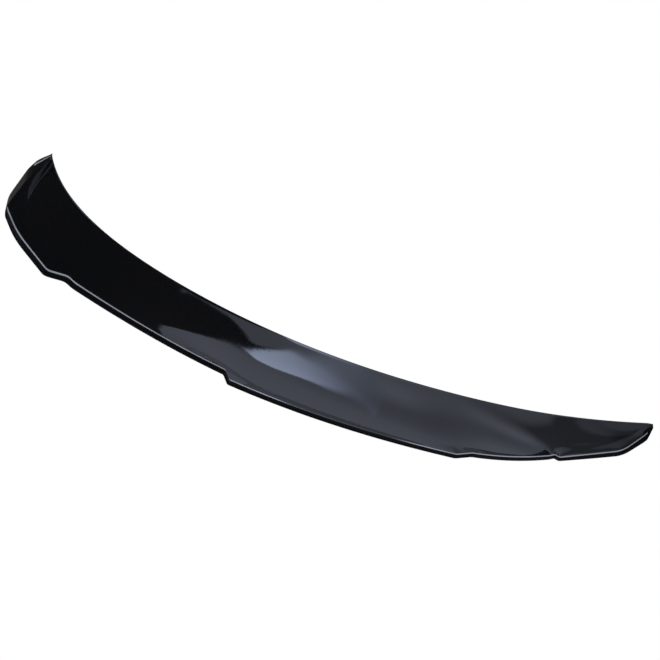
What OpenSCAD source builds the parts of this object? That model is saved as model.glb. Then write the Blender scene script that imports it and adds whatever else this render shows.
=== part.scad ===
// Boot-lid rear spoiler: one thin-walled moulding in gloss black plastic.
// Millimetres. X runs across the car, +Y to the rear, +Z up.
// The origin is the middle of the base edge, on the crease between face and rim.
// The face is hollow between that edge and the lip. A rear skin folds back down from
// the lip, ribs join the two skins, and a short rim drops from the crease to the boot lid.

/* [Lip] */
// Width of the spoiler from tip to tip of the lip
lip_span = 1150; // [1120:5:1180]
// Height of the lip above the base edge at the middle
lip_height = 97; // [91:1:105]
// How far the lip lies behind the base edge at the middle
lip_setback = 32; // [27:1:37]
// How far the even sweep of the lip carries its tips forward
lip_sweep = 125; // [115:1:135]
// How much further the last stretch hooks the tips forward
tip_hook = 45; // [39:1:51]
// Radius of the rounded nose of the lip
lip_nose = 1.5; // [1.2:0.1:2]
// Height of the cut end of the tip
tip_cut = 2; // [1.5:0.25:3]
// How far the cut end lies behind the tip of the lip
tip_back = 1; // [0.5:0.25:2]

/* [Base edge] */
// Width of the tongue in the middle of the base edge
tongue_w = 442; // [422:2:462]
// How far the tongue's ends lie ahead of its middle
tongue_sweep = 18; // [15:0.5:21]
// Step from the tongue to a side stretch: out, forward and up
tongue_step = [20, 13, 4]; // [2:0.5:24]
// How far a side stretch sags below the straight line between its ends
side_sag = 3.5; // [0:0.5:6]

/* [Ends, measured from the tip of the lip] */
// Outer end of the side stretch: in, back and down
side_end = [122, 108, 57]; // [40:0.5:130]
// Start of the end's ledge: in, back and down
ledge = [113, 106.5, 54]; // [40:0.5:120]
// Inner corner of the end: in, back and down
inner_corner = [91, 111, 53.5]; // [40:0.5:120]
// Middle of the end's lower edge: in, back and down
lower_edge = [33, 84, 41]; // [25:0.5:100]
// Outer corner: out, back and down
outer_corner = [4, 55, 33]; // [0:0.5:65]
// Shoulder beside the tip: out, back and down
shoulder = [9, 16, 11]; // [4:0.5:22]

/* [Rounding along the base edge] */
// Both corners of the tongue's step
step_round = 3; // [2:0.5:4]
// Outer end of the side stretch
side_round = 5; // [3:0.5:5]
// Start of the ledge
ledge_round = 4; // [2:0.5:4]
// Inner corner of the end
inner_round = 5; // [4:0.5:8]
// Middle of the end's lower edge
lower_round = 18; // [12:1:20]
// Outer corner
outer_round = 13; // [9:1:15]
// Shoulder
shoulder_round = 8; // [5:0.5:9]

/* [Section] */
// Thickness of the wall
wall = 3; // [2.4:0.1:3.4]
// Thickness that the wall thins to at the ends
end_wall = 1; // [0.8:0.1:1.6]
// Hollow of the face as a share of its height
hollow_share = 0.12; // [0.1:0.01:0.14]
// Part of that hollow which is left at the tips
hollow_end = 0.5; // [0.4:0.05:0.8]
// How far the rim drops below the crease along the tongue and the sides
rim_drop = 5.5; // [4:0.5:7]
// How far it drops at the outer corner
rim_outer = 7.5; // [6:0.5:9]
// How far it drops at the shoulder
rim_shoulder = 10; // [8:0.5:12]
// How far it drops at the tip
rim_tip = 4; // [3:0.5:6]
// Length over which the crease is rounded
crease_round = 1.4; // [1:0.1:2]
// Height of the rear skin at the middle
rear_height = 46; // [42:1:50]
// Depth from the lip's nose to the rear skin's lower edge at the middle
rear_depth = 36; // [34:1:40]
// Share of its height that the rear skin loses towards the tips
rear_taper = 0.6; // [0.5:0.05:0.7]
// Length of edge on each side over which the face is faired
fair_length = 90; // [60:5:110]
// Height above the crease over which the edge's own steps fade into the fair face
fade_height = 14; // [10:1:25]

/* [Ribs] */
// Distance between the ribs inside
rib_pitch = 110; // [106:1:114]
// Number of ribs on each side of the middle
rib_count = 4; // [2:1:4]
// Thickness of a rib
rib_t = 2.4; // [2:0.2:3]
// How far a rib fills the hollow, from none to full
rib_fill = 0.8; // [0.5:0.05:0.9]

/* [Hidden] */

half = lip_span / 2;
tongue_x = tongue_w / 2;
rear_slope = rear_depth / rear_height;

// Longest step between stations, and the number of points on each part of a section
station_step = 16;
corner_steps = 4;
face_steps = 12;
nose_turns = [35, 88, 142];
inner_steps = 7;
fair_steps = 12;
rib_draft = 0.3;

// Thickness of the hollow at the rear skin's lower edge: closed below, open above
gap_closed = 1;
gap_open = 3;

// The fade may take up this share of a low face at most
fade_share = 0.6;

// Each place on the base edge has a partner on the lip, which lies this far further in
side_lag = 10;
inner_lag = 21;
lower_lag = 23;
outer_lag = 28;
shoulder_lag = 14;
tip_lag = 0.5;

// Rank of a place along the end: 0 on the sides, 1 at the outer corner, 2 at the tip
lower_rank = 0.6;
outer_rank = 1;
shoulder_rank = 1.7;
tip_rank = 2;

function unit(a) = a / norm(a);
function mix(a, b, t) = a + (b - a) * t;
function clamp(t) = max(0, min(1, t));
function xyz(p) = [p[0], p[1], p[2]];

function lip(x) =
    let(s = pow(x / half, 2))
    [x, lip_setback - lip_sweep * s - tip_hook * pow(s, 4), lip_height];

function lip_direction(x) =
    let(q = x / half)
    unit([half, -2 * lip_sweep * q - 8 * tip_hook * pow(q, 7), 0]);

// A path point is a place on the base edge, the x of its partner on the lip, and its rank
function path_point(p, lag, rank) = concat(p, [p[0] - lag, rank]);
function tongue_point(x) = path_point([x, -tongue_sweep * pow(x / tongue_x, 2), 0], 0, 0);
function from_tip(out, back, down, lag, rank) =
    path_point(lip(half) + [out, back, -down], lag, rank);

p_tongue = tongue_point(tongue_x);
p_step = path_point(xyz(p_tongue) + [tongue_step[0], -tongue_step[1], tongue_step[2]], 0, 0);
p_side = from_tip(-side_end[0], side_end[1], side_end[2], side_lag, 0);
p_ledge = from_tip(-ledge[0], ledge[1], ledge[2], side_lag, 0);
p_inner = from_tip(-inner_corner[0], inner_corner[1], inner_corner[2], inner_lag, 0);
p_lower = from_tip(-lower_edge[0], lower_edge[1], lower_edge[2], lower_lag, lower_rank);
p_outer = from_tip(outer_corner[0], outer_corner[1], outer_corner[2], outer_lag, outer_rank);
p_shoulder = from_tip(shoulder[0], shoulder[1], shoulder[2], shoulder_lag, shoulder_rank);
p_tip = from_tip(0, tip_back, tip_cut, tip_lag, tip_rank);

function side_point(x) =
    let(t = (x - p_step[0]) / (p_side[0] - p_step[0]))
    mix(p_step, p_side, t) - [0, 0, 4 * side_sag * t * (1 - t), 0, 0];

// A point r along the way from a to b
function along(a, b, r) = mix(a, b, r / norm(xyz(b) - xyz(a)));

// A corner at b between a and c, rounded over a length r on each side
function round_corner(a, b, c, r) =
    let(p = along(b, a, r), q = along(b, c, r))
    [for (i = [0:corner_steps]) let(t = i / corner_steps) mix(mix(p, b, t), mix(b, q, t), t)];

// Points strictly between two rounded corners at a and b, n of them
function between(a, b, ra, rb, n) =
    let(p = along(a, b, ra), q = along(b, a, rb))
    [for (i = [1:n]) mix(p, q, i / (n + 1))];

// Stations along x from a to b, as pairs of x and rib fill, with a rib at each of xs
function plain_run(a, b) =
    let(n = max(1, ceil((b - a) / station_step)))
    [for (i = [0:n - 1]) [mix(a, b, i / n), 0]];
function one_rib(x) =
    let(top = rib_t / 2, foot = rib_t / 2 + rib_draft)
    [[x - foot, 0], [x - top, rib_fill], [x + top, rib_fill], [x + foot, 0]];
function ribbed_run(a, b, xs, i = 0) =
    i == len(xs) ? plain_run(a, b) :
    concat(plain_run(a, xs[i] - rib_t), one_rib(xs[i]), ribbed_run(xs[i] + rib_t, b, xs, i + 1));

rib_xs = [for (i = [0:rib_count - 1]) rib_pitch * (i + 0.5)];
function ribs_in(a, b) = [for (x = rib_xs) if (x > a + 2 * rib_t && x < b - 2 * rib_t) x];

// A station is a path point and the rib fill there
tongue_to = tongue_x - step_round;
side_from = p_step[0] + step_round;
side_to = p_side[0] - side_round;
tongue_stations = [for (s = ribbed_run(0, tongue_to, ribs_in(0, tongue_to)))
    [tongue_point(s[0]), s[1]]];
side_stations = [for (s = ribbed_run(side_from + step_round, side_to, ribs_in(side_from, side_to)))
    [side_point(s[0]), s[1]]];
step_path = concat(
    round_corner(tongue_point(tongue_to), p_tongue, p_step, step_round),
    between(p_tongue, p_step, step_round, step_round, 2),
    round_corner(p_tongue, p_step, side_point(side_from), step_round));
end_path = concat(
    round_corner(side_point(side_to), p_side, p_ledge, side_round),
    round_corner(p_side, p_ledge, p_inner, ledge_round),
    between(p_ledge, p_inner, ledge_round, inner_round, 1),
    round_corner(p_ledge, p_inner, p_lower, inner_round),
    between(p_inner, p_lower, inner_round, lower_round, 2),
    round_corner(p_inner, p_lower, p_outer, lower_round),
    between(p_lower, p_outer, lower_round, outer_round, 2),
    round_corner(p_lower, p_outer, p_shoulder, outer_round),
    between(p_outer, p_shoulder, outer_round, shoulder_round, 3),
    round_corner(p_outer, p_shoulder, p_tip, shoulder_round),
    [p_tip]);
half_stations = concat(
    tongue_stations, [for (p = step_path) [p, 0]], side_stations, [for (p = end_path) [p, 0]]);

// The edge by distance from its middle, mirrored there and turned about the tip
edge = [for (s = half_stations) s[0]];
edge_s = [for (i = 0, s = 0; i < len(edge);
    i = i + 1, s = i < len(edge) ? s + norm(xyz(edge[i]) - xyz(edge[i - 1])) : s) s];
edge_end = edge_s[len(edge) - 1];
edge_tables = [for (k = [0:4]) [for (i = [0:len(edge) - 1]) [edge_s[i], edge[i][k]]]];
function edge_at(s) =
    s < 0 ? let(p = edge_at(-s)) [-p[0], p[1], p[2], -p[3], p[4]] :
    s > edge_end ? 2 * p_tip - edge_at(2 * edge_end - s) :
    [for (t = edge_tables) lookup(s, t)];

// The fair edge, on which the face is built: a weighted average of the edge near by
fair_shares = [for (k = [-fair_steps:fair_steps]) k / (fair_steps + 1)];
fair_weights = [for (q = fair_shares) pow(1 - q * q, 2)];
fair_sum = fair_weights * [for (q = fair_shares) 1];
function fair_at(s) =
    fair_weights * [for (q = fair_shares) edge_at(s + q * fair_length)] / fair_sum;

// How much of an edge's step is left at v above the crease, on a face c high
function fade(v, c) =
    let(q = clamp(v / min(fade_height, fade_share * c)))
    1 - q * q * (3 - 2 * q);

// Depth of the hollow face at v above the crease, on a face c high that stands at x
function face_depth(v, c, x) =
    let(q = clamp(v / c), m = q + 0.2 * q * (1 - q))
    4 * hollow_share * mix(1, hollow_end, pow(x / half, 2)) * c * m * (1 - m);

// Drop of the rim below the crease at a rank
rim_drops = [
    [0, rim_drop], [outer_rank, rim_outer], [shoulder_rank, rim_shoulder], [tip_rank, rim_tip]];
function rim_depth(rank) = lookup(rank, rim_drops);

// The closed outline of one section: v is up the face, w is back from it, along the
// vector back, and the third number is straight down, for the rim alone. It runs up the
// face, round the lip, down the rear skin, back up inside it, down inside the face, and
// round the rim to the crease.
function section(x, c, back, rank, fill) =
    let(thick = mix(wall, end_wall, clamp(rank)),
        t = min(thick, 0.12 * c),
        nose = min(lip_nose, 0.12 * c),
        crease = min(crease_round, 0.1 * c),
        drop = rim_depth(rank),
        rear_h = min(rear_height * (1 - rear_taper * pow(x / half, 3)), 0.5 * c),
        rear_v = c - rear_h,
        rear_w = rear_slope * rear_h,
        fold = min(2.3 * t / (rear_slope - 3.2 * hollow_share), 0.9 * rear_h),
        gap = rear_w - 2.2 * t - face_depth(rear_v, c, x),
        f = max(fill, 1 - clamp((gap - gap_closed) / (gap_open - gap_closed))),
        face_top = c - 1.34 * nose,
        face = [for (i = [0:face_steps])
            let(v = mix(crease, face_top, i / face_steps)) [v, face_depth(v, c, x), 0]],
        nose_at = [c - nose, face_depth(face_top, c, x) + 0.93 * nose, 0],
        nose_round = [for (a = nose_turns) nose_at + nose * [sin(a), -cos(a), 0]],
        mouth = [rear_v, rear_w - 1.2 * t, 0],
        level = norm([back[0], back[1]]),
        rim_in = [0, thick / level, drop + thick * back[2] / level],
        half_way = (rear_h + fold) / 2,
        inside = concat(
            [[c - half_way, rear_slope * half_way - 1.2 * t, 0]],
            [for (i = [0:inner_steps])
                let(v = mix(c - fold, t, i / inner_steps)) [v, face_depth(v, c, x) + t, 0]]),
        n = len(inside),
        hollow = [for (i = [0:n - 1]) mix(inside[i], mix(mouth, rim_in, (i + 1) / (n + 1)), f)],
        rim = [[0, 0, drop], [0, 0, crease], [crease / 4, face_depth(crease, c, x) / 4, crease / 4]])
    concat(face, nose_round, [[rear_v, rear_w, 0]], [mouth], hollow, [rim_in], rim);

// A section set on the fair edge, up to the lip and back square to it, and then drawn
// towards the true edge as far as the fade allows
function placed(i) =
    let(p = edge[i], g = fair_at(edge_s[i]), foot = xyz(g), q = lip(g[3]),
        c = norm(q - foot), up = unit(q - foot), back = unit(cross(up, lip_direction(g[3]))))
    [for (a = section(g[0], c, back, p[4], half_stations[i][1]))
        foot + up * a[0] + back * a[1] - [0, 0, a[2]] + (xyz(p) - foot) * fade(a[0], c)];

right = [for (i = [0:len(edge) - 1]) placed(i)];
left = [for (i = [len(right) - 1:-1:1]) [for (p = right[i]) [-p[0], p[1], p[2]]]];
rings = concat(left, right);
ring_n = len(rings[0]);
ring_count = len(rings);

// Triangles between two rows of points, a in front and b behind, both from below
function ladder(a, b, i = 0, j = 0) =
    i == len(a) - 1 && j == len(b) - 1 ? [] :
    i < len(a) - 1 && i * (len(b) - 1) <= j * (len(a) - 1) ?
        concat([[a[i], a[i + 1], b[j]]], ladder(a, b, i + 1, j)) :
        concat([[a[i], b[j + 1], b[j]]], ladder(a, b, i, j + 1));

// The tip is closed by such a ladder, from the rim up to the nose
nose_last = face_steps + len(nose_turns);
front_row = concat([ring_n - 3, ring_n - 2, ring_n - 1], [for (j = [0:nose_last - 1]) j]);
rear_row = [for (j = [ring_n - 4:-1:nose_last]) j];

module spoiler() {
    skin = [for (i = [0:ring_count - 2], j = [0:ring_n - 1])
        let(k = (j + 1) % ring_n, a = i * ring_n, b = a + ring_n)
        each [[a + j, b + j, b + k], [a + j, b + k, a + k]]];
    left_cap = ladder(front_row, rear_row);
    right_cap = [for (t = left_cap) [for (k = [2:-1:0]) (ring_count - 1) * ring_n + t[k]]];
    color([0.02, 0.02, 0.025])
        polyhedron(points = [for (r = rings) each r], faces = concat(skin, left_cap, right_cap));
}

spoiler();
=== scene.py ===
# %% [markdown]
# # A gloss black rear spoiler
#
# The part is one long moulding that sits on the rear edge of a boot lid. Its hollow face
# runs up from a stepped base edge to a thin lip, and both ends draw out into a point. It
# is painted piano black, and that is the whole difficulty: a black mirror has no colour
# of its own, so its look is made by a fair surface and by what stands around it.
#
# This lesson first loads the solid model, then works the same surface out again as one
# fine grid, then gives it its lacquer, and last builds the small studio that it mirrors.

# %% Load the solid model
import math

import bpy
import numpy as np
from mathutils import Matrix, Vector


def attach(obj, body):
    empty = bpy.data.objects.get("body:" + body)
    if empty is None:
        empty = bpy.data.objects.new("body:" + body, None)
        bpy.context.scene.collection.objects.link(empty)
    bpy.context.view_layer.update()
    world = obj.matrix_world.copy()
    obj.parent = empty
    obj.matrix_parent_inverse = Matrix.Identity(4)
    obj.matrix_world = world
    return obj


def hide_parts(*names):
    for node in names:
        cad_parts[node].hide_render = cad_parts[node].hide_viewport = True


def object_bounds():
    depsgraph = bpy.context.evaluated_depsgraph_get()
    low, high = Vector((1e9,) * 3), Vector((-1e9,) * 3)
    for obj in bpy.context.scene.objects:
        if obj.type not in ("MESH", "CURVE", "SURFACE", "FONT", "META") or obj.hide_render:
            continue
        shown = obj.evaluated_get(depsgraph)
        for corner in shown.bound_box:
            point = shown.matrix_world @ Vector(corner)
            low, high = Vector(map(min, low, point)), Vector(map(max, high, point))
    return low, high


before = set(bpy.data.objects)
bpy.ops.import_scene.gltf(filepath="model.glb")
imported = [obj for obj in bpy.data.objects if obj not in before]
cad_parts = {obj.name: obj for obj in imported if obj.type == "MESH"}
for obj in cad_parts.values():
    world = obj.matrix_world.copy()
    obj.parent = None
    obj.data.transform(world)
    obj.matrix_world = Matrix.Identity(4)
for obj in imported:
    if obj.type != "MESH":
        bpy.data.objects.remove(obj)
cad_low, cad_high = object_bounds()
print("solid model, in metres:", [round(high - low, 4) for low, high in zip(cad_low, cad_high)])

# %% [markdown]
# ## The sizes
#
# A moulding like this is drawn from a handful of sizes. They are in millimetres here,
# because that is how a body part is drawn, and the finished points are turned into metres
# in one place. Points at the end of the spoiler are given from the tip of the lip.

# %% Sizes of the lip and the base edge


def mix(a, b, t):
    """The point that lies the share t of the way from a to b."""
    return a + (b - a) * t


METRE = 0.001
HALF_SPAN = 575.0
LIP_HEIGHT = 97.0
LIP_SETBACK = 32.0
LIP_SWEEP = 125.0
TIP_HOOK = 45.0
TONGUE_HALF = 221.0
TONGUE_SWEEP = 18.0
TONGUE_STEP = (20.0, -13.0, 4.0)
SIDE_SAG = 3.5
RIM_DROP, RIM_OUTER, RIM_SHOULDER, RIM_TIP = 5.5, 7.5, 10.0, 4.0

# Corners of the end from the tip of the lip: out, back, up, how far their partners on
# the lip lie further in, and their rank: 0 along the side, 1 at the outer corner and 2
# at the tip, which sets the depth of the rim and the thickness of the wall
SIDE_END = (-122.0, 108.0, -57.0, 10.0, 0.0)
LEDGE = (-113.0, 106.5, -54.0, 10.0, 0.0)
INNER_CORNER = (-91.0, 111.0, -53.5, 21.0, 0.0)
LOWER_EDGE = (-33.0, 84.0, -41.0, 23.0, 0.6)
OUTER_CORNER = (4.0, 55.0, -33.0, 28.0, 1.0)
SHOULDER = (9.0, 16.0, -11.0, 14.0, 1.7)
TIP_END = (0.0, 1.0, -2.0, 0.5, 2.0)

# %% Roundings and the section
STEP_ROUND, SIDE_ROUND, LEDGE_ROUND, INNER_ROUND = 3.0, 5.0, 4.0, 5.0
LOWER_ROUND, OUTER_ROUND, SHOULDER_ROUND = 18.0, 13.0, 8.0
WALL, END_WALL = 3.0, 1.0
HOLLOW_SHARE, HOLLOW_END = 0.12, 0.5
HOLLOW_SKEW = 0.2
LIP_NOSE = 1.5
CREASE_ROUND = 1.4
EDGE_ROUND = 0.6
REAR_HEIGHT, REAR_DEPTH, REAR_TAPER = 46.0, 36.0, 0.6
RIB_PITCH, RIB_COUNT, RIB_THICK, RIB_DRAFT, RIB_FILL = 110.0, 4, 2.4, 0.3, 0.8
FAIR_LENGTH = 90.0
FADE_HEIGHT = 14.0

# %% [markdown]
# ## The lip and the base edge
#
# Two long curves carry everything. The lip is level, and its sweep is a formula: a
# parabola gives the even bow, and an eighth power adds the hook near the tips without
# touching the middle. The base edge is a chain of stretches with rounded corners. Each
# point on it has two more numbers: its partner on the lip, so that the face can later be
# stretched between the two, and its rank, which says how near the tip it lies.

# %% The two long curves


def unit(vectors):
    """Each vector divided by its own length."""
    return vectors / np.linalg.norm(vectors, axis=-1, keepdims=True)


def lip(x):
    """Points on the lip: back by the setback, less sweep times s, less hook times s to
    the fourth, where s is the square of x over the half span."""
    s = (x / HALF_SPAN) ** 2
    back = LIP_SETBACK - LIP_SWEEP * s - TIP_HOOK * s**4
    return np.stack([x, back, np.full_like(s, LIP_HEIGHT)], -1)


def lip_direction(x):
    """The direction of the lip: one across, and the slope of the formula above."""
    q = x / HALF_SPAN
    slope = -2 * LIP_SWEEP * q - 8 * TIP_HOOK * q**7
    return unit(np.stack([np.full_like(q, HALF_SPAN), slope, np.zeros_like(q)], -1))


def tongue_point(x):
    """A point on the tongue, whose edge bows forward with the square of x."""
    x = np.asarray(x, float)
    bow = -TONGUE_SWEEP * (x / TONGUE_HALF) ** 2
    return np.stack([x, bow, np.zeros_like(x), x, np.zeros_like(x)], -1)


# %% Corners of the base edge


def from_tip(out, back, up, further_in, rank):
    """A corner given from the tip of the lip, with its partner on the lip and its rank."""
    place = lip(np.array(HALF_SPAN)) + (out, back, up)
    return np.append(place, (place[0] - further_in, rank))


tongue_end = tongue_point(TONGUE_HALF)
side_start = tongue_end + (*TONGUE_STEP, TONGUE_STEP[0], 0)
side_stop, ledge, inner, lower, outer, shoulder, tip = (
    from_tip(*corner)
    for corner in (SIDE_END, LEDGE, INNER_CORNER, LOWER_EDGE, OUTER_CORNER, SHOULDER, TIP_END)
)


def side_point(x):
    """A point on the side stretch: a straight line that sags with t times one less t."""
    t = ((np.asarray(x, float) - side_start[0]) / (side_stop[0] - side_start[0]))[..., None]
    return mix(side_start, side_stop, t) - 4 * SIDE_SAG * t * (1 - t) * [0, 0, 1, 0, 0]


# %% Rounded corners and the whole edge


def along(a, b, distance):
    """The point at a distance from a, on the way to b."""
    return mix(a, b, distance / np.linalg.norm((b - a)[:3]))


def rounded(a, b, c, radius, count=13):
    """The corner at b as a curve that leaves one side and joins the other, both at the
    radius from b: the mix of two mixes, so it is smooth where it joins."""
    t = np.linspace(0, 1, count)[:, None]
    start, stop = along(b, a, radius), along(b, c, radius)
    return mix(mix(start, b, t), mix(b, stop, t), t)


STEP_TO = side_start[0] + STEP_ROUND
SIDE_TO = side_stop[0] - SIDE_ROUND
tongue_stop = tongue_point(TONGUE_HALF - STEP_ROUND)
edge = np.vstack([
    tongue_point(np.linspace(0, TONGUE_HALF - STEP_ROUND, 120)),
    rounded(tongue_stop, tongue_end, side_start, STEP_ROUND),
    rounded(tongue_end, side_start, side_point(STEP_TO), STEP_ROUND),
    side_point(np.linspace(STEP_TO, SIDE_TO, 120)),
    rounded(side_point(SIDE_TO), side_stop, ledge, SIDE_ROUND),
    rounded(side_stop, ledge, inner, LEDGE_ROUND),
    rounded(ledge, inner, lower, INNER_ROUND),
    rounded(inner, lower, outer, LOWER_ROUND),
    rounded(lower, outer, shoulder, OUTER_ROUND),
    rounded(outer, shoulder, tip, SHOULDER_ROUND),
    tip[None],
])
lengths = np.linalg.norm(np.diff(edge[:, :3], axis=0), axis=1)
edge = edge[np.append(True, lengths > 1e-6)]
edge_at = np.append(0, np.cumsum(lengths[lengths > 1e-6]))
edge_length = edge_at[-1]
print(f"half of the base edge: {len(edge)} points, {edge_length:.1f} mm")

# %% [markdown]
# ## A fair surface
#
# If the face were stretched straight from the stepped edge to the lip, each small corner
# of the edge would run up the face as a fold, and a mirror finish would show it at once.
# A pattern maker works the other way round: the face is fair, and the edge is only cut
# and dressed into it. So the edge is smoothed first, by a running average over a fixed
# length, and the face is built on the smoothed edge. What the average took away is given
# back near the edge alone, and fades out a little way up the face.

# %% Smooth the edge for the face
SMOOTHING_STEPS = 30
STATION_PITCH = 1.7


def edge_point(at):
    """The edge at a distance from its middle, mirrored there and turned about the tip."""
    folded = np.where(at > edge_length, 2 * edge_length - at, np.abs(at))
    point = np.stack([np.interp(folded, edge_at, column) for column in edge.T], -1)
    point = np.where((at < 0)[..., None], point * [-1, 1, 1, -1, 1], point)
    return np.where((at > edge_length)[..., None], 2 * tip - point, point)


def fair_edge_point(at):
    """The average of the edge over a length on both sides, weighted by one less the
    square of the share of that length, squared."""
    share = np.arange(-SMOOTHING_STEPS, SMOOTHING_STEPS + 1) / (SMOOTHING_STEPS + 1)
    weight = (1 - share**2) ** 2
    near = edge_point(at[:, None] + share * FAIR_LENGTH)
    return (near * weight[:, None]).sum(1) / weight.sum()


# %% Stations along the edge, with a rib where one stands
rib_x = RIB_PITCH * (np.arange(RIB_COUNT) + 0.5)
rib_at = np.interp(rib_x, edge[:, 0], edge_at)
rib_foot = RIB_THICK / 2 + RIB_DRAFT
rib_sides = np.array([-rib_foot, -RIB_THICK / 2, RIB_THICK / 2, rib_foot])
station_at = np.linspace(0, edge_length, round(edge_length / STATION_PITCH))
station_at = np.union1d(station_at, (rib_at[:, None] + rib_sides).ravel())
rib_gap = np.abs(station_at[:, None] - rib_at).min(1)
rib_fill = RIB_FILL * np.clip((rib_foot - rib_gap) / RIB_DRAFT, 0, 1)

true_base = edge_point(station_at)
rank = true_base[:, 4:]
rim_depth = np.interp(rank, [0, 1, SHOULDER[4], 2], [RIM_DROP, RIM_OUTER, RIM_SHOULDER, RIM_TIP])
fair_base = fair_edge_point(station_at)
partner = fair_base[:, 3]
true_base, fair_base = true_base[:, :3], fair_base[:, :3]
offset = true_base - fair_base
top = lip(partner)
chord = np.linalg.norm(top - fair_base, axis=1)
up = unit(top - fair_base)
back = unit(np.cross(up, lip_direction(partner)))
print(f"{len(station_at)} stations a side; the edge stands {np.abs(offset).max():.1f} mm off the fair one at most")

# %% [markdown]
# ## One section
#
# Every section is one closed outline in three numbers: v runs up the face, w runs back
# from it, and d straight down, for the rim alone. The outline goes up the hollow face,
# round the nose of the lip, down the rear skin, back up inside it, down the inner side of
# the face, and round the rim to the crease. All the stations are worked out together, so
# each number below is a column with one row for each station. At a rib the inner side
# moves out to the mouth of the hollow, and fills it.

# %% The hollow of the face
FACE_STEPS = 34
NOSE_STEPS = 9
CREASE_STEPS = 6
REAR_STEPS = 8
INNER_STEPS = 16
NOSE_START, NOSE_STOP, NOSE_BELOW = 21, 142, 1.34
REAR_WALL = 1.2
THIN_SHARE = 0.12


def face_depth(v, c):
    """How far the face lies back at v on a face c high: a parabola in the share of the
    height, moved a little towards the lip, and flatter towards the ends."""
    q = np.clip(v / c, 0, 1)
    m = q + HOLLOW_SKEW * q * (1 - q)
    return 4 * HOLLOW_SHARE * mix(1, HOLLOW_END, across**2) * c * m * (1 - m)


def pairs(v, w, d=0.0):
    """Columns of v, w and d as rows of points."""
    return np.stack(np.broadcast_arrays(v, w, d * np.ones_like(v)), -1)


def curve(a, b, c, count):
    """Points from a to c on the curve that b draws towards itself, both ends left in."""
    t = np.linspace(0, 1, count)[:, None]
    a, b, c = (point[:, None, :] for point in (a, b, c))
    return mix(mix(a, b, t), mix(b, c, t), t)


# %% The outline of every section
c = chord[:, None]
full_wall = mix(WALL, END_WALL, rank.clip(0, 1))
wall = np.minimum(full_wall, THIN_SHARE * c)
nose = np.minimum(LIP_NOSE, THIN_SHARE * c)
crease = np.minimum(CREASE_ROUND, 0.1 * c)
across = (fair_base[:, :1] / HALF_SPAN).clip(0, 1)
rear_h = np.minimum(REAR_HEIGHT * (1 - REAR_TAPER * across**3), 0.5 * c)
rear_slope = REAR_DEPTH / REAR_HEIGHT
rear_v, rear_w = c - rear_h, rear_slope * rear_h
fold = np.minimum(2.3 * wall / (rear_slope - 3.2 * HOLLOW_SHARE), 0.9 * rear_h)
gap = rear_w - 2.2 * wall - face_depth(rear_v, c)
fill = np.maximum(rib_fill[:, None], 1 - np.clip((gap - 1) / 2, 0, 1))

face_v = mix(crease, c - nose * NOSE_BELOW, np.linspace(0, 1, FACE_STEPS))
face = pairs(face_v, face_depth(face_v, c))
nose_turn = np.radians(np.linspace(-NOSE_START, NOSE_STOP, NOSE_STEPS))[1:]
nose_middle = face_depth(c - nose * NOSE_BELOW, c) + nose * math.cos(math.radians(NOSE_START))
nose_round = pairs(c - nose + nose * np.sin(nose_turn), nose_middle - nose * np.cos(nose_turn))
rear_start = nose_round[:, -1:]
rear_stop = pairs(rear_v, rear_w)
edge_round = np.minimum(EDGE_ROUND, 0.2 * wall)
mouth = pairs(rear_v, rear_w - REAR_WALL * wall)
rear_line = mix(rear_start, rear_stop, np.linspace(0, 1, REAR_STEPS + 1)[None, 1:-1, None])
rear_hem = curve((rear_stop - pairs(-edge_round, rear_slope * edge_round))[:, 0], rear_stop[:, 0],
                 (rear_stop - pairs(0 * c, edge_round))[:, 0], 4)

# %% Inside, and round the rim
half_way = (rear_h + fold) / 2
inner_top = pairs(c - half_way, rear_slope * half_way - REAR_WALL * wall)
inner_up = mix(mouth, inner_top, np.linspace(0, 1, 4)[None, 1:, None])
inner_v = mix(c - fold, wall, np.linspace(0, 1, INNER_STEPS))
inner_down = pairs(inner_v, face_depth(inner_v, c) + wall)
level = np.linalg.norm(back[:, :2], axis=1)[:, None]
rim_in = pairs(0 * c, full_wall / level, rim_depth + full_wall * back[:, 2:] / level)
inside = np.concatenate([inner_up, inner_down], 1)
inner_count = inside.shape[1]
closed = mix(mouth, rim_in, (np.arange(inner_count)[None, :, None] + 1) / (inner_count + 1))
inside = mix(inside, closed, fill[..., None])
rim_out = pairs(0 * c, 0 * c, rim_depth)
rim_hem = curve(mix(rim_in, rim_out, 0.7)[:, 0], rim_out[:, 0], mix(rim_out, 0 * rim_out, 0.2)[:, 0], 4)
crease_low = mix(0 * rim_out, rim_out, crease[..., None] / rim_depth[..., None])
crease_curve = curve(crease_low[:, 0], 0 * crease_low[:, 0], face[:, 0], CREASE_STEPS)[:, :-1]
parts = [face, nose_round, rear_line, rear_hem, mouth, inside, rim_in, rim_hem, crease_curve]
section = np.concatenate(parts, 1)
gloss_points = sum(part.shape[1] for part in parts[:4])
print("points in a section:", [part.shape[1] for part in parts], "=", section.shape[1])

# %% [markdown]
# ## Set the sections in place
#
# A section stands on the smoothed edge with v towards the lip and w square to it. Then the
# edge's own steps are given back: each point moves by what the smoothing took, times a
# share that is one at the crease and falls to nothing at the fade height. The left half is
# the right half mirrored, and one face closes each tip.

# %% Points of the moulding


def fade(v):
    """One below the crease, nothing above the fade height, and a smooth fall between."""
    q = np.clip(v / np.minimum(FADE_HEIGHT, 0.6 * c), 0, 1)
    return 1 - q * q * (3 - 2 * q)


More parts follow.
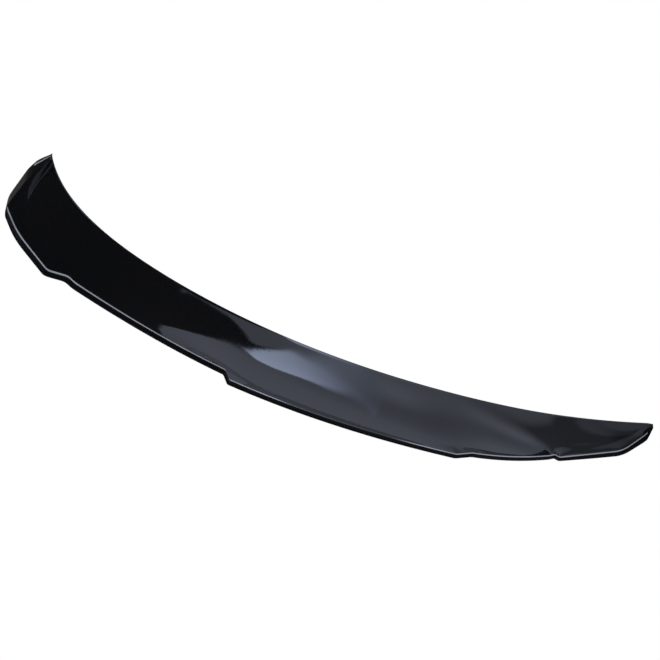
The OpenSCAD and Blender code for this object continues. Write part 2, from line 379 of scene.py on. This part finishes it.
v, w, d = section[..., :1], section[..., 1:2], section[..., 2:]
right = fair_base[:, None] + up[:, None] * v + back[:, None] * w - d * [0, 0, 1]
right += offset[:, None] * fade(section[..., 0])[..., None]
left = right[:0:-1] * [-1, 1, 1]
rings = np.concatenate([left, right])
ring_count, ring_size = rings.shape[:2]
points = rings.reshape(-1, 3) * METRE
outside = np.abs(points - np.clip(points, cad_low, cad_high)).max() / METRE
print(f"the fine surface stands {outside:.3f} mm outside the solid's box at most")
points = np.clip(points, cad_low, cad_high)

# %% Mesh of the moulding
CREASE_LINE = 4
LACQUER, INNER, DULL, CREASE = range(4)
ring, place = np.meshgrid(np.arange(ring_count - 1), np.arange(ring_size), indexing="ij")
here, after = ring * ring_size + place, ring * ring_size + (place + 1) % ring_size
skin = np.stack([here, here + ring_size, after + ring_size, after], -1).reshape(-1, 4)
caps = [list(range(ring_size)), list(range(ring_count * ring_size - 1, (ring_count - 1) * ring_size - 1, -1))]
mesh = bpy.data.meshes.new("moulding")
mesh.from_pydata(points.tolist(), [], skin.tolist() + caps)
rim_start = ring_size - crease_curve.shape[1] - rim_hem.shape[1] - 1
dull_end = (fill[:, 0] > 0.99) & (station_at > rib_at[-1] + 5) | (rank[:, 0] > 0.3)
dull_end = np.append(dull_end[:0:-1], dull_end)[:-1, None]
inner_finish = np.where(dull_end, DULL, INNER)
limits = gloss_points, rim_start, ring_size - CREASE_LINE, ring_size - 1
finish = np.select([place < limit for limit in limits], [LACQUER, inner_finish, DULL, CREASE], LACQUER)
mesh.polygons.foreach_set("material_index", np.append(finish.ravel(), [LACQUER] * 2).astype(np.int32))
mesh.shade_smooth()
mesh.set_sharp_from_angle(angle=math.radians(40))
mesh.update()
moulding = bpy.data.objects.new("moulding", mesh)
bpy.context.scene.collection.objects.link(moulding)
corners = points[skin]
volume = np.einsum("ij,ij->i", corners[:, 0], np.cross(corners[:, 1], corners[:, 2])
                   + np.cross(corners[:, 2], corners[:, 3])).sum() / 6
print(f"{len(skin) * 2} triangles, and about {volume * 1e6:.0f} cubic centimetres of plastic")

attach(moulding, "root")
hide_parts("spoiler")

# %% [markdown]
# ## Shader maths in plain Python
#
# A material in Blender is a graph of nodes. Written out link by link it is hard to read,
# so one small class wraps a socket and lets the signs + - * make the Math nodes.

# %% A socket that can be added and multiplied


class Sock:
    """A shader socket on which + - and * make Math nodes, on either side of a number."""

    def __init__(self, tree, socket):
        self.tree, self.socket = tree, socket

    def node(self, kind, settings=None, output=0, **inputs):
        """A node of a kind, its settings first, then the values or links of its inputs.
        A key i3 names the third input after the first, and any other key its name."""
        made = self.tree.nodes.new(kind)
        for name, value in (settings or {}).items():
            setattr(made, name, value)
        for key, value in inputs.items():
            number = key[1:]
            name = int(number) if key[0] == "i" and number.isdigit() else key.replace("_", " ")
            if isinstance(value, Sock):
                self.tree.links.new(value.socket, made.inputs[name])
            else:
                made.inputs[name].default_value = value
        return Sock(self.tree, made.outputs[output])

    def math(self, operation, *values):
        """A Math node of an operation on this socket and up to two more values."""
        inputs = {f"i{i}": value for i, value in enumerate((self, *values))}
        return self.node("ShaderNodeMath", {"operation": operation}, **inputs)

    def __add__(self, other):
        return self.math("ADD", other)

    def __mul__(self, other):
        return self.math("MULTIPLY", other)

    def __sub__(self, other):
        return self.math("SUBTRACT", other)

    def __rsub__(self, other):
        return (self * -1.0) + other

    __radd__ = __add__
    __rmul__ = __mul__


def new_material(name):
    """An empty node material, its shader, and the piece's own coordinates as a socket."""
    material = bpy.data.materials.new(name)
    material.use_nodes = True
    tree = material.node_tree
    shader = next(node for node in tree.nodes if node.type == "BSDF_PRINCIPLED")
    place = tree.nodes.new("ShaderNodeTexCoord")
    return material, shader, Sock(tree, place.outputs["Object"])


def feed(shader, name, value):
    """Links a socket to an input of the shader."""
    value.tree.links.new(value.socket, shader.inputs[name])


# %% [markdown]
# ## Piano black
#
# Piano black is a deep black under a clear, hard lacquer. Close to, it isn't perfect: the
# lacquer carries a very faint orange peel a few millimetres across, polishing leaves hair
# marks finer than that, and a little dust settles on it. Each stays nearly invisible, and
# together they keep the reflections from looking like a calculation.

# %% The lacquer
LACQUER_BLACK = (0.0030, 0.0032, 0.0042, 1)


def piano_black():
    """Black lacquer: roughness from hair marks and dust, normals from orange peel."""
    material, shader, place = new_material("piano_black")
    shader.inputs["IOR"].default_value = 1.5
    peel = place.node("ShaderNodeTexNoise", Vector=place, Scale=160.0, Detail=1.0)
    hair = place.node("ShaderNodeTexNoise", Vector=place, Scale=900.0, Detail=2.0)
    cloud = place.node("ShaderNodeTexNoise", Vector=place, Scale=9.0, Detail=2.0)
    dust = place.node("ShaderNodeTexVoronoi", Vector=place, Scale=260.0, output=0)
    speck = place.node("ShaderNodeMapRange", {"interpolation_type": "SMOOTHSTEP"},
                       Value=dust, From_Min=0.05, From_Max=0.09, To_Min=1.0, To_Max=0.0)
    thin = place.node("ShaderNodeMapRange", Value=cloud, From_Min=0.45, From_Max=0.75, To_Min=0.0, To_Max=1.0)
    feed(shader, "Roughness", hair * 0.02 + thin * speck * 0.15 + 0.03)
    tint = place.node("ShaderNodeMix", {"data_type": "RGBA"}, output=2, i0=thin * speck * 0.25,
                      i6=LACQUER_BLACK, i7=(0.06, 0.06, 0.065, 1))
    feed(shader, "Base Color", tint)
    bump = place.node("ShaderNodeBump", Strength=0.02, Distance=0.0004, Height=peel)
    feed(shader, "Normal", bump)
    return material


def moulded_black():
    """The bare inner side: satin black plastic with the fine grain of its tool."""
    material, shader, place = new_material("moulded_black")
    shader.inputs["Specular IOR Level"].default_value = 0.12
    grain = place.node("ShaderNodeTexNoise", Vector=place, Scale=1400.0, Detail=3.0)
    cloud = place.node("ShaderNodeTexNoise", Vector=place, Scale=14.0, Detail=3.0)
    tint = place.node("ShaderNodeMix", {"data_type": "RGBA"}, output=2, i0=cloud,
                      i6=(0.010, 0.010, 0.011, 1), i7=(0.017, 0.017, 0.018, 1))
    feed(shader, "Base Color", tint)
    feed(shader, "Roughness", cloud * 0.16 + 0.34)
    feed(shader, "Normal", place.node("ShaderNodeBump", Strength=0.25, Distance=0.0003, Height=grain))
    return material


def rim_black():
    """The rim that drops on to the boot lid: as black, but dull, for the polish never reaches it."""
    material, shader, place = new_material("rim_black")
    shader.inputs["Specular IOR Level"].default_value = 0.03
    grain = place.node("ShaderNodeTexNoise", Vector=place, Scale=700.0, Detail=2.0)
    tint = place.node("ShaderNodeMix", {"data_type": "RGBA"}, output=2, i0=grain,
                      i6=(0.0022, 0.0023, 0.0030, 1), i7=(0.0040, 0.0042, 0.0052, 1))
    feed(shader, "Base Color", tint)
    feed(shader, "Roughness", grain * 0.1 + 0.35)
    return material


def crease_painted_highlight():
    """The sharp crease above the rim, with a painted highlight: a pale blue-grey base colour that
    stands in for the light the rounded crease catches. The middle of the tongue stays black."""
    material, shader, place = new_material("crease_painted_highlight")
    # This noise makes the painted highlight patchy, and it also varies the roughness.
    highlight_and_roughness_noise = place.node("ShaderNodeTexNoise", Vector=place, Scale=22.0, Detail=3.0)
    across_part = place.node("ShaderNodeSeparateXYZ", Vector=place).math("ABSOLUTE")
    painted_highlight_share = place.node("ShaderNodeMapRange", {"interpolation_type": "SMOOTHSTEP"},
                          Value=across_part, From_Min=0.09, From_Max=0.15, To_Min=0.0, To_Max=1.0)
    # Painted highlight: the pale blue-grey colour stands in for light on the crease. It fades in from 90 to 150 mm
    # out from the middle, so the middle of the tongue stays black.
    tint = place.node("ShaderNodeMix", {"data_type": "RGBA"}, output=2, i0=painted_highlight_share * (highlight_and_roughness_noise * 0.5 + 0.5),
                      i6=(0.004, 0.004, 0.005, 1), i7=(0.34, 0.36, 0.42, 1))
    feed(shader, "Base Color", tint)
    feed(shader, "Roughness", highlight_and_roughness_noise * 0.2 + 0.1)
    return material


for finish_of in (piano_black, moulded_black, rim_black, crease_painted_highlight):
    mesh.materials.append(finish_of())

# %% [markdown]
# ## The studio
#
# The picture has no background but white, so the room is plain white light from all
# sides, at the strength that shows a colour about as it is written. A pale floor lies
# well below the part, which hangs in its own frame.

# %% White surroundings
world = bpy.data.worlds.new("white_room")
bpy.context.scene.world = world
world.use_nodes = True
background = next(node for node in world.node_tree.nodes if node.type == "BACKGROUND")
background.inputs["Color"].default_value = (1, 1, 1, 1)
background.inputs["Strength"].default_value = 1.0

# %% Floor
FLOOR_DEPTH = 1.5
floor_mesh = bpy.data.meshes.new("floor")
FLOOR_REACH = 60.0
floor_corners = [(x * FLOOR_REACH, y * FLOOR_REACH, -FLOOR_DEPTH) for x, y in ((-1, -1), (1, -1), (1, 1), (-1, 1))]
floor_mesh.from_pydata(floor_corners, [], [(0, 1, 2, 3)])
floor = bpy.data.objects.new("floor", floor_mesh)
bpy.context.scene.collection.objects.link(floor)
floor_material, floor_shader, _ = new_material("white_floor")
floor_shader.inputs["Base Color"].default_value = (0.95, 0.95, 0.95, 1)
floor_shader.inputs["Roughness"].default_value = 0.9
floor_mesh.materials.append(floor_material)

# %% [markdown]
# ## What the lacquer mirrors
#
# A photographer of black gloss lights the surroundings and leaves the part alone. Here a
# grey wall bends round the right side and down to the floor, and a flat card stands before
# it, square to the part: black, with a pale blue lamp let into its edge, and clear where
# the wall should show. Both are seen by mirror rays alone, so they cast no light or shadow
# on anything and stay out of the picture. The glow of each point is a formula, and it goes
# into the mesh as a colour, with the cover of the card as its fourth number.

# %% A surface for mirror rays alone
BLUE_GREY = np.array([0.92, 1.0, 1.23])


def mirrored_only(name, places, glow, cover=1.0):
    """A stage surface on a grid of points that only mirror rays see, from its front, with
    a colour of light for each point and how much of it is there."""
    rows, columns = places.shape[:2]
    i, j = np.meshgrid(np.arange(rows - 1), np.arange(columns - 1), indexing="ij")
    a = (i * columns + j).ravel()
    surface = bpy.data.meshes.new(name)
    surface.from_pydata(places.reshape(-1, 3).tolist(), [],
                        np.stack([a, a + columns, a + columns + 1, a + 1], -1).tolist())
    light = np.concatenate([glow, np.broadcast_to(cover, glow.shape[:2])[..., None]], -1)
    colours = surface.attributes.new("glow", "FLOAT_COLOR", "POINT")
    colours.data.foreach_set("color", light.ravel().astype(np.float32))
    card = bpy.data.objects.new(name, surface)
    bpy.context.scene.collection.objects.link(card)
    card.visible_camera = card.visible_diffuse = card.visible_shadow = card.visible_transmission = False
    material = bpy.data.materials.new(name)
    material.use_nodes = True
    tree = material.node_tree
    tree.nodes.clear()
    colour = tree.nodes.new("ShaderNodeAttribute")
    colour.attribute_name = "glow"
    glow_colour, shown = Sock(tree, colour.outputs["Color"]), Sock(tree, colour.outputs["Alpha"])
    light = glow_colour.node("ShaderNodeEmission", Color=glow_colour)
    behind = Sock(tree, tree.nodes.new("ShaderNodeNewGeometry").outputs["Backfacing"])
    mixed = light.node("ShaderNodeMixShader", i0=shown * (1 - behind),
                       i1=light.node("ShaderNodeBsdfTransparent"), i2=light)
    tree.links.new(mixed.socket, tree.nodes.new("ShaderNodeOutputMaterial").inputs["Surface"])
    surface.materials.append(material)
    return card


def rise(x, start, stop):
    """Nothing up to start, one from stop on, and a smooth step between."""
    q = np.clip((x - start) / (stop - start), 0, 1)
    return q * q * (3 - 2 * q)


# %% The grey wall
WALL_REACH, WALL_FOOT = 4.0, 1.45
turn, height = np.meshgrid(np.arange(46, 186.1, 0.5), np.arange(-80, 80.1, 0.5), indexing="ij")
turn_r, height_r = np.radians(turn), np.radians(height)
to_floor = WALL_FOOT / np.sin(-height_r).clip(1e-3)
reach = np.where(height < 0, np.minimum(WALL_REACH, to_floor), WALL_REACH)
wall_places = reach[..., None] * np.stack(
    [np.sin(turn_r) * np.cos(height_r), np.cos(turn_r) * np.cos(height_r), np.sin(height_r)], -1)

# Brighter with the turn, a dark band low down, a bright side beyond it, and a darker foot
BAND_RISE, BAND_FALL, BAND_TOP, BAND_SHADE = (125, 131), (141, 147), (4, 14), 0.50
SIDE_RISE, SIDE_GREY = (142, 152), 0.34
FOOT_RISE, FOOT_TOP, FOOT_SHADE = (112, 118), (-50, -44), 0.5
HAZE_AT, HAZE_SIZE, HAZE_LIGHT = (135, 20), 8, 0.48
grey = 0.50 * np.clip((turn - 42) / 64, 0, 1)
band = (1 - rise(height, *BAND_TOP)) * rise(turn, *BAND_RISE) * (1 - rise(turn, *BAND_FALL))
foot = rise(turn, *FOOT_RISE) * (1 - rise(height, *FOOT_TOP))
grey = (grey * (1 - BAND_SHADE * band) + SIDE_GREY * rise(turn, *SIDE_RISE)) * (1 - FOOT_SHADE * foot)
off_haze = ((turn - HAZE_AT[0]) / HAZE_SIZE) ** 2 + ((height - HAZE_AT[1]) / HAZE_SIZE) ** 2
haze = HAZE_LIGHT * np.exp(-off_haze)
glow = (grey + haze)[..., None] * BLUE_GREY
mirrored_only("grey_wall", wall_places, glow)
print(f"the wall glows from {glow.min():.2f} to {glow.max():.2f}")

# %% [markdown]
# ## The card and its lamp
#
# Two outlines on the card, in millimetres back and up, say where it has a window to the
# wall and where the lamp shines. A smooth edge needs the distance of each point to the
# outline, counted negative outside: the nearest of its straight sides gives the distance,
# and a point lies inside where a line from it crosses the sides an odd number of times.

# %% Outlines on the card
CARD_X = 0.150
WINDOW_EDGE = [
    (-162, 282), (-157, 268), (-154, 261), (-153, 235), (-153, 223), (-150, 216), (-145, 211), (-137, 210),
    (-129, 212), (-126, 208), (-125, 201), (-124, 192), (-122, 183), (-120, 187), (-120, 195), (-118, 205),
    (-114, 217), (-107, 227), (-99, 237), (-87, 247), (-59, 269), (-38, 295), (-26, 332), (-28, 375),
    (-33, 416), (-22, 449), (35, 473), (102, 477), (450, 490), (450, 230), (150, 215), (80, 120), (45, 50),
    (20, -5), (-60, -12), (-150, -20), (-160, 150), (-161, 188), (-163, 198), (-166, 222), (-165, 264),
]
LAMP_EDGE = [
    (-107, 227), (-114, 217), (-119, 205), (-121, 186), (-120, 174), (-115, 167), (-106, 160), (-95, 149),
    (-81, 138), (-57, 122), (-16, 93), (-8, 86), (-40, 123), (-54, 148), (-68, 171), (-73, 183), (-76, 195),
    (-79, 211), (-83, 224), (-87, 231), (-94, 233), (-101, 232),
]


def depth_inside(outline, y, z):
    """The distance of each point to the nearest side of the outline, negative outside."""
    start = np.array(outline, float)
    side = np.roll(start, -1, axis=0) - start
    to = np.stack([y, z], -1)[..., None, :] - start
    share = np.clip((to * side).sum(-1) / (side**2).sum(-1), 0, 1)
    distance = np.linalg.norm(to - share[..., None] * side, axis=-1).min(-1)
    above = to[..., 1] >= 0
    crossed = above != (to[..., 1] >= side[:, 1])
    at = side[:, 0] * to[..., 1] / np.where(side[:, 1] == 0, 1, side[:, 1])
    return distance * np.where((crossed & (to[..., 0] < at)).sum(-1) % 2, 1, -1)


# %% The card
card_y = np.concatenate([[-3000, -1500, -700, -400, -260, -200], np.arange(-180, 151, 3.0),
                         [180, 220, 300, 400, 440, 460, 600, 1500, 3000]])
card_z = np.concatenate([[-1400, -500, -200, -60], np.arange(-30, 70, 5), np.arange(70, 300, 3.0),
                         np.arange(300, 511, 10), [560, 700, 1200, 2000]])
y, z = np.meshgrid(card_y[::-1], card_z, indexing="ij")
black = 1 - rise(depth_inside(WINDOW_EDGE, y, z), -1.5, 1.5)
soft = mix(8.0, 1.5, rise(z, 140, 190))
lamp = rise(depth_inside(LAMP_EDGE, y, z), -soft, soft)
lamp_light = mix(0.8, 2.6, rise(z, 95, 195))
cover = np.maximum(black, lamp)
glow = 0.02 * (cover - lamp)[..., None] + (lamp * lamp_light)[..., None] * [0.86, 1.0, 1.38]
glow = glow / cover.clip(1e-3)[..., None]
mirrored_only("black_card", np.stack([np.full_like(y, CARD_X / METRE), y, z], -1) * METRE, glow, cover)

# %% [markdown]
# ## The camera
#
# The picture looks up at the part from the front left. The camera is given by its place,
# the turn and rise of its view, and its roll, and its lens is a slightly long one.

# %% Camera
CAMERA_PLACE = (-1.20239, -0.95916, -0.38870)
CAMERA_AZIMUTH, CAMERA_RISE, CAMERA_ROLL = 50.750, 18.253, 1.0300
FOCAL_PIXELS, PICTURE_PIXELS, SENSOR = 1300.0, 660.0, 36.0
camera_data = bpy.data.cameras.new("camera")
camera_data.sensor_width = SENSOR
camera_data.lens = FOCAL_PIXELS * SENSOR / PICTURE_PIXELS
camera = bpy.data.objects.new("camera", camera_data)
bpy.context.scene.collection.objects.link(camera)
camera.location = CAMERA_PLACE
camera.rotation_euler = (math.radians(90 + CAMERA_RISE), 0, math.radians(-CAMERA_AZIMUTH))
camera.rotation_euler = (camera.rotation_euler.to_matrix()
                         @ Matrix.Rotation(math.radians(CAMERA_ROLL), 3, "Z")).to_euler()
bpy.context.scene.camera = camera
bpy.context.scene.view_settings.view_transform = "Standard"
